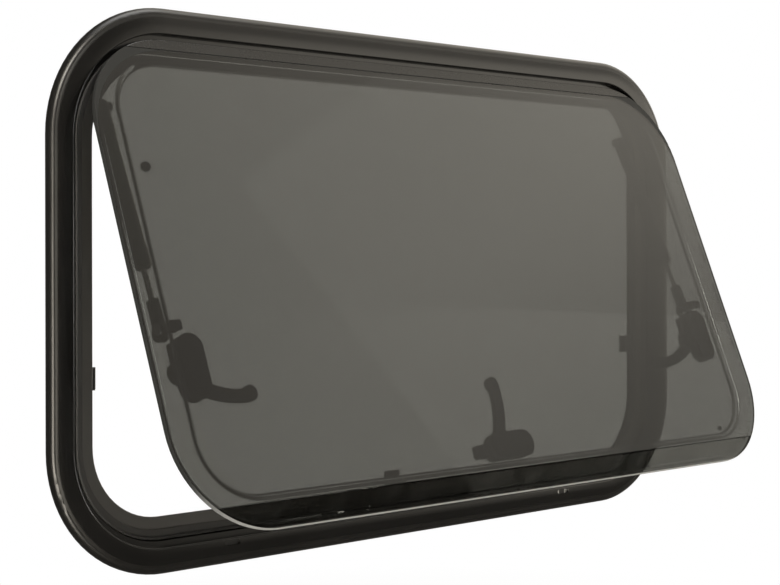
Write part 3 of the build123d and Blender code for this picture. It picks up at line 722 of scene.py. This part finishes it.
def stay_place(side, reach):
    """A place on a stay's axis, with local Z pointing from the frame's pin to the sash."""
    axis = Vector(joints["stay_" + side + "_slide"]["axis"])
    pin = Vector(joints["stay_" + side + "_swing"]["pos_m"])
    turn = Vector((0, 0, 1)).rotation_difference(axis).to_matrix().to_4x4()
    return Matrix.Translation(pin + axis * reach) @ turn


for side in ("left", "right"):
    cap = spun(CAP_SECTION, stay_place(side, TUBE_LENGTH), closed=True)
    new_piece("friction_cap_" + side, cap, "tube_" + side, "stay_black", "stay_cap_" + side)

# %% [markdown]
# ## Stay brackets on the sheet
# Each stay ends at a small moulded bracket: a thin foot on the sheet and a round-nosed cheek for the
# pin. The cheek's side outline is a half circle on two straight sides. It is drawn once and extruded
# to the cheek's thickness; the foot is a block with softened edges.

# %% Bracket cheeks and feet
FOOT_GAUGE = 0.0026
FOOT_PAST_PIN = 0.0015
CHEEK_GAUGE = 0.0028
EDGE_SOFT = 0.0009
NOSE_R = 0.0048
NOSE_STEPS = 14


def soft_block(shape, low, high):
    """A block between two corners with softened edges."""
    made = bmesh.ops.create_cube(shape, size=1.0)["verts"]
    bmesh.ops.scale(shape, vec=high - low, verts=made)
    bmesh.ops.translate(shape, vec=(high + low) / 2, verts=made)
    edges = list({edge for vertex in made for edge in vertex.link_edges})
    bmesh.ops.bevel(
        shape, geom=edges, offset=EDGE_SOFT, segments=2, profile=0.5, affect="EDGES", material=-1,
    )


for side in ("left", "right"):
    low, high = shut_box("pane_bracket_" + side)
    pin_low, pin_high = shut_box("pane_pin_" + side)
    pin = (pin_low + pin_high) / 2
    inner = high.x if side == "left" else low.x
    outer = inner + (-CHEEK_GAUGE if side == "left" else CHEEK_GAUGE)
    bracket = bmesh.new()
    turns = [math.pi * step / NOSE_STEPS for step in range(NOSE_STEPS + 1)]
    nose = [(pin.y + NOSE_R * math.sin(turn), -NOSE_R * math.cos(turn)) for turn in turns]
    outline = [(low.y, low.z - pin.z)] + nose + [(low.y, FOOT_PAST_PIN)]
    corners = [bracket.verts.new((min(inner, outer), depth, pin.z + up)) for depth, up in outline]
    face = bracket.faces.new(corners)
    drawn = bmesh.ops.extrude_face_region(bracket, geom=[face])["geom"]
    moved = [part for part in drawn if isinstance(part, bmesh.types.BMVert)]
    bmesh.ops.translate(bracket, vec=(CHEEK_GAUGE, 0, 0), verts=moved)
    merged(bracket)
    soft_block(bracket, low, Vector((high.x, low.y + FOOT_GAUGE, pin.z + FOOT_PAST_PIN)))
    bmesh.ops.transform(bracket, matrix=swing_open, verts=bracket.verts)
    new_piece("round_bracket_" + side, bracket, "sash", "fitting_plastic", "pane_bracket_" + side)

# %% [markdown]
# ## Screw heads
# The clamp frame is drawn up by eight screws, and each lever turns on one. What shows is a low domed
# head with a cross recess. The dome is spun, and the recess starts as a three by three grid
# without its corners: bridged to the dome's open top, then pushed down.

# %% Domed heads with a cross recess
HEAD_STEPS = 32
DOME_SHARES = ((0, 0), (1, 0), (1, 0.35), (0.90, 0.72), (0.68, 1))
CROSS_REACH = 0.52
CROSS_ARM = 0.11
CROSS_DEPTH = 0.55


def cross_head(shape, radius, height, place):
    """Add one screw head on its seat, pointing up local Z, to a bmesh."""
    head = bmesh.new()
    section = [(radius * across, height * up) for across, up in DOME_SHARES]
    corners = [head.verts.new((across, 0.0, up)) for across, up in section]
    edges = [head.edges.new(pair) for pair in zip(corners, corners[1:])]
    bmesh.ops.spin(
        head, geom=corners + edges, cent=(0, 0, 0), axis=(0, 0, 1), angle=2 * math.pi,
        steps=HEAD_STEPS, use_merge=True, use_duplicate=False,
    )
    merged(head)
    top_edges = [edge for edge in head.edges if edge.is_boundary]
    reach = radius * CROSS_REACH
    grid = bmesh.ops.create_grid(head, x_segments=3, y_segments=3, size=reach)["verts"]
    bmesh.ops.translate(head, vec=(0, 0, height), verts=grid)
    middles = {face: face.calc_center_median() for vertex in grid for face in vertex.link_faces}
    outside = [face for face, spot in middles.items() if min(abs(spot.x), abs(spot.y)) > reach / 2]
    bmesh.ops.delete(head, geom=outside, context="FACES")
    cross = [face for face in head.faces if all(vertex in grid for vertex in face.verts)]
    for vertex in {vertex for face in cross for vertex in face.verts}:
        for axis in (0, 1):
            if abs(vertex.co[axis]) < reach / 2:
                vertex.co[axis] *= 3 * CROSS_ARM / CROSS_REACH
    arm_edges = {edge for face in cross for edge in face.edges}
    cross_edges = [edge for edge in arm_edges if edge.is_boundary]
    bmesh.ops.bridge_loops(head, edges=top_edges + cross_edges)
    sunk = bmesh.ops.extrude_face_region(head, geom=cross)["geom"]
    floor_verts = [part for part in sunk if isinstance(part, bmesh.types.BMVert)]
    bmesh.ops.translate(head, vec=(0, 0, -height * CROSS_DEPTH), verts=floor_verts)
    bmesh.ops.delete(head, geom=[face for face in cross if face.is_valid], context="FACES_ONLY")
    merged(head)
    bmesh.ops.transform(head, matrix=place, verts=head.verts)
    block = bpy.data.meshes.new("head")
    head.to_mesh(block)
    head.free()
    shape.from_mesh(block)
    bpy.data.meshes.remove(block)


print("head of", HEAD_STEPS, "steps, cross arms", CROSS_ARM, "of its radius")

# %% Heads on their seats
SCREW_REACH = 0.012


def screw_feet(node, head):
    """Seats of a node's separate screws: vertices near each other belong to one screw."""
    clusters = []
    for vertex in frame["nodes"][node].data.vertices:
        spot = swing_shut @ vertex.co if "lever" in node else vertex.co
        home = [cluster for cluster in clusters if (cluster[0] - spot).xz.length < SCREW_REACH]
        if home:
            home[0].append(spot.copy())
        else:
            clusters.append([spot.copy()])
    feet = []
    for cluster in clusters:
        middle_x = (min(spot.x for spot in cluster) + max(spot.x for spot in cluster)) / 2
        middle_z = (min(spot.z for spot in cluster) + max(spot.z for spot in cluster)) / 2
        feet.append(Vector((middle_x, max(spot.y for spot in cluster) - head, middle_z)))
    return feet


CLAMP_HEAD = (0.0030, 0.0016)
LEVER_HEAD = (0.0046, 0.0014)
clamp_heads = bmesh.new()
for foot in screw_feet("clamp_screws", CLAMP_HEAD[1]):
    cross_head(clamp_heads, *CLAMP_HEAD, Matrix.Translation(foot) @ stand_up)
new_piece("clamp_screw_heads", clamp_heads, "frame", "screw_steel", "clamp_screws")
for side in ("left", "right", "low"):
    lever_head = bmesh.new()
    for foot in screw_feet("lever_screw_" + side, LEVER_HEAD[1]):
        cross_head(lever_head, *LEVER_HEAD, swing_open @ Matrix.Translation(foot) @ stand_up)
    rides_on, stands_for = "latch_" + side, "lever_screw_" + side
    new_piece("lever_screw_head_" + side, lever_head, rides_on, "screw_steel", stands_for)

# %% [markdown]
# ## A white stage
# The window is photographed cut out on white, with nothing behind it. The floor lies well below, so
# that its soft shadow stays out of the main picture. To the camera, and through the acrylic, the floor
# is a white glow that fades a little towards the window, where the paper's own shaded white shows.
# Reflections leave the floor out, because black gloss only looks black if what it mirrors is dark.

# %% Floor
FLOOR_Z = -0.45
FLOOR_REACH = 9.0
slab = bmesh.new()
bmesh.ops.create_grid(slab, x_segments=1, y_segments=1, size=FLOOR_REACH)
bmesh.ops.translate(slab, vec=(0, 0, FLOOR_Z), verts=slab.verts)
floor_mesh = bpy.data.meshes.new("floor")
slab.to_mesh(floor_mesh)
slab.free()
floor = bpy.data.objects.new("floor", floor_mesh)
bpy.context.scene.collection.objects.link(floor)
floor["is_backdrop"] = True
floor.visible_glossy = False
print("floor at", FLOOR_Z)

# %% White paper
PAPER_LOW = (0.84, 0.84, 0.84)
PAPER_HIGH = (0.88, 0.88, 0.88)
GLOW_NEAR = 0.70
GLOW_EDGE = (0.55, 1.15)
paper = bpy.data.materials.new("paper")
paper.use_nodes = True
paper_tree = paper.node_tree
paper_tree.nodes.clear()
wire = Wire(paper_tree)
seen = wire.node("ShaderNodeLightPath", out="Is Camera Ray")
through = wire.node("ShaderNodeLightPath", out="Is Transmission Ray")
fleck = speckle(wire, 0.40)
away = wire.node("ShaderNodeVectorMath", {"operation": "LENGTH"}, {0: place_on(wire)}, "Value")
fade = GLOW_NEAR + soft_step(away, *GLOW_EDGE) * (1.0 - GLOW_NEAR)
flecked = blend_colours(wire, fleck, PAPER_LOW, PAPER_HIGH)
matt = wire.node("ShaderNodeBsdfDiffuse", {}, {"Color": flecked})
glow = wire.node("ShaderNodeEmission", {}, {"Color": (1.0, 1.0, 1.0, 1.0), "Strength": 1.0})
white_share = wire.sum("MAXIMUM", seen, through) * fade
sheet_look = wire.node("ShaderNodeMixShader", {}, {0: white_share, 1: matt, 2: glow})
wire.node("ShaderNodeOutputMaterial", {}, {"Surface": sheet_look})
floor_mesh.materials.append(paper)
print("glow by the window", GLOW_NEAR)

# %% [markdown]
# ## What the gloss mirrors
# Black gloss shows its shape only by what it mirrors, so the surroundings are painted for reflections
# alone: a dim room, a bright side to the right that the pane mirrors, a low strip at the front left
# for the long light on the shoulder, and a high patch for the streak at the upper corner. Lamps could
# do this too, but each would also light the dull faces. Directions are measured by how far they point
# sideways, to the front and up. To the camera the surroundings are white, and through the sheet they
# fall off a little to the right, as a lit backdrop does.

# %% Directions in the room
world = bpy.data.worlds.new("studio")
bpy.context.scene.world = world
world.use_nodes = True
world.node_tree.nodes.clear()
wire = Wire(world.node_tree)
towards = wire.node("ShaderNodeTexCoord", out="Generated")
flattened = stretched(towards, (1.0, 1.0, 0.0))
level_way = wire.node("ShaderNodeVectorMath", {"operation": "NORMALIZE"}, {0: flattened})
sideways = part_along(level_way, (1.0, 0.0, 0.0))
frontwards = part_along(level_way, (0.0, -1.0, 0.0))
upwards = part_along(towards, (0.0, 0.0, 1.0))
print("directions:", len(world.node_tree.nodes), "nodes")

# %% The bright side
BRIGHT_LEVEL = 1.90
BRIGHT_START = (0.525, 0.60)
BRIGHT_FADE, FADE_SHARE = (0.74, 0.88), 0.15
BRIGHT_RISE = (-0.30, 0.15)
BRIGHT_TOP, TOP_SHARE = (0.14, 0.34), 0.71
HIGH_START, HIGH_RISE, HIGH_SHARE = (0.62, 0.95), (0.32, 0.52), 0.49
bright_low = soft_step(sideways, *BRIGHT_START) * soft_step(upwards, *BRIGHT_RISE)
bright_low = bright_low * (1.0 - soft_step(sideways, *BRIGHT_FADE) * FADE_SHARE)
bright_low = bright_low * (1.0 - soft_step(upwards, *BRIGHT_TOP) * TOP_SHARE)
bright_high = soft_step(sideways, *HIGH_START) * soft_step(upwards, *HIGH_RISE) * HIGH_SHARE
bright_side = (bright_low + bright_high) * BRIGHT_LEVEL
print("bright side from", BRIGHT_START, "sideways, at", BRIGHT_LEVEL)

# %% The low strip and the high patch
STRIP_LEVEL = 18.0
STRIP_START, STRIP_END = (-0.64, -0.52), (-0.22, -0.06)
STRIP_FRONT = (0.0, 0.3)
STRIP_FOOT, STRIP_TOP = (-0.7, -0.4), (-0.16, 0.06)
HIGH_PATCH_LEVEL = 16.0
HIGH_PATCH_AT = (-0.305, -0.793, 0.526)
HIGH_PATCH_EDGE = (0.955, 0.985)
low_strip = soft_step(sideways, *STRIP_START) * (1.0 - soft_step(sideways, *STRIP_END))
low_strip = low_strip * soft_step(frontwards, *STRIP_FRONT)
low_strip = low_strip * soft_step(upwards, *STRIP_FOOT) * (1.0 - soft_step(upwards, *STRIP_TOP))
high_patch = soft_step(part_along(towards, HIGH_PATCH_AT), *HIGH_PATCH_EDGE)
lit_parts = low_strip * STRIP_LEVEL + high_patch * HIGH_PATCH_LEVEL
print("strip at", STRIP_LEVEL, "patch at", HIGH_PATCH_LEVEL)

# %% White to the eye, painted in reflections
ROOM_LEVEL = 0.14
FILL_LEVEL = 0.50
THROUGH_EDGE, THROUGH_FALL = (0.58, 0.88), 0.34
GLOSS_TINT = (1.0, 0.93, 0.80)
WHITE = (1.0, 1.0, 1.0)
camera_ray = wire.node("ShaderNodeLightPath", out="Is Camera Ray")
through_ray = wire.node("ShaderNodeLightPath", out="Is Transmission Ray")
gloss_ray = wire.node("ShaderNodeLightPath", out="Is Glossy Ray")
shown_white = wire.sum("MAXIMUM", camera_ray, through_ray)
mirrored = ROOM_LEVEL + bright_side + lit_parts
around = gloss_ray * mirrored + (1.0 - gloss_ray) * FILL_LEVEL
only_through = through_ray * (1.0 - camera_ray)
seen_through = 1.0 - soft_step(sideways, *THROUGH_EDGE) * THROUGH_FALL * only_through
level = shown_white * seen_through + (1.0 - shown_white) * around
tint = blend_colours(wire, shown_white, GLOSS_TINT, WHITE)
backdrop = wire.node("ShaderNodeBackground", {}, {"Color": tint, "Strength": level})
wire.node("ShaderNodeOutputWorld", {}, {"Surface": backdrop})
print("fill level", FILL_LEVEL, "level of the room in reflections", ROOM_LEVEL)

# %% [markdown]
# ## Soft boxes
# Five square area lamps give the dull faces their light: from above, both sides, the front and the
# right edge. The two large side boxes are hidden from reflections, where they would draw pale edges
# along the frame.

# %% Lamps


def soft_box(name, spot, size, watts, mirrored=True):
    """A square area lamp at a spot, facing the window's middle."""
    lamp = bpy.data.lights.new(name, "AREA")
    lamp.shape = "SQUARE"
    lamp.size = size
    lamp.energy = watts
    box = bpy.data.objects.new(name, lamp)
    box.location = spot
    box.rotation_mode = "QUATERNION"
    box.rotation_quaternion = (-Vector(spot)).to_track_quat("-Z", "Y")
    box.visible_glossy = mirrored
    bpy.context.scene.collection.objects.link(box)


soft_box("top_box", (0.1, -0.3, 1.6), 1.0, 12.0)
soft_box("left_box", (-1.9, 0.1, 0.3), 1.2, 12.0, mirrored=False)
soft_box("key_box", (-0.66, -1.72, 1.14), 0.35, 7.7)
soft_box("edge_box", (2.0, 0.2, 0.0), 0.6, 5.7)
soft_box("right_box", (1.7, -0.9, 0.9), 1.2, 8.0, mirrored=False)
print("lamps", [light.name for light in bpy.data.lights])

# %% [markdown]
# ## The camera
# The picture was taken from the left, level with the window, with a longish lens. The lens, place
# and turn come from fitting the frame's and the pane's outlines, and a small downward
# shift keeps the uprights upright.

# %% Camera at the photograph's angle
PICTURE_W = 780
FOCAL_PX = 1594.6
OPTICAL_RISE_PX = 42.5
EYE = (-0.99293, -1.04774, 0.02819)
EYE_TURN = (90.166, 0.147, -42.814)
SENSOR = 36.0
lens = bpy.data.cameras.new("camera")
lens.sensor_width = SENSOR
lens.lens = SENSOR * FOCAL_PX / PICTURE_W
lens.shift_y = -OPTICAL_RISE_PX / PICTURE_W
lens.clip_start, lens.clip_end = 0.01, 60.0
camera = bpy.data.objects.new("camera", lens)
camera.location = EYE
camera.rotation_euler = [math.radians(angle) for angle in EYE_TURN]
bpy.context.scene.collection.objects.link(camera)
bpy.context.scene.camera = camera
bpy.context.scene.view_settings.view_transform = "Standard"
print("lens", round(lens.lens, 2), "mm, shift", round(lens.shift_y, 4))

# %% [markdown]
# ## Measure the dressed window
# The dressed window must be as large as the CAD model, so both boxes are written side by side.

# %% Sizes and the end
seen_low, seen_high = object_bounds()
for box, low, high in (("CAD", cad_low, cad_high), ("dressed", seen_low, seen_high)):
    print(box, [round(x, 4) for x in high - low])
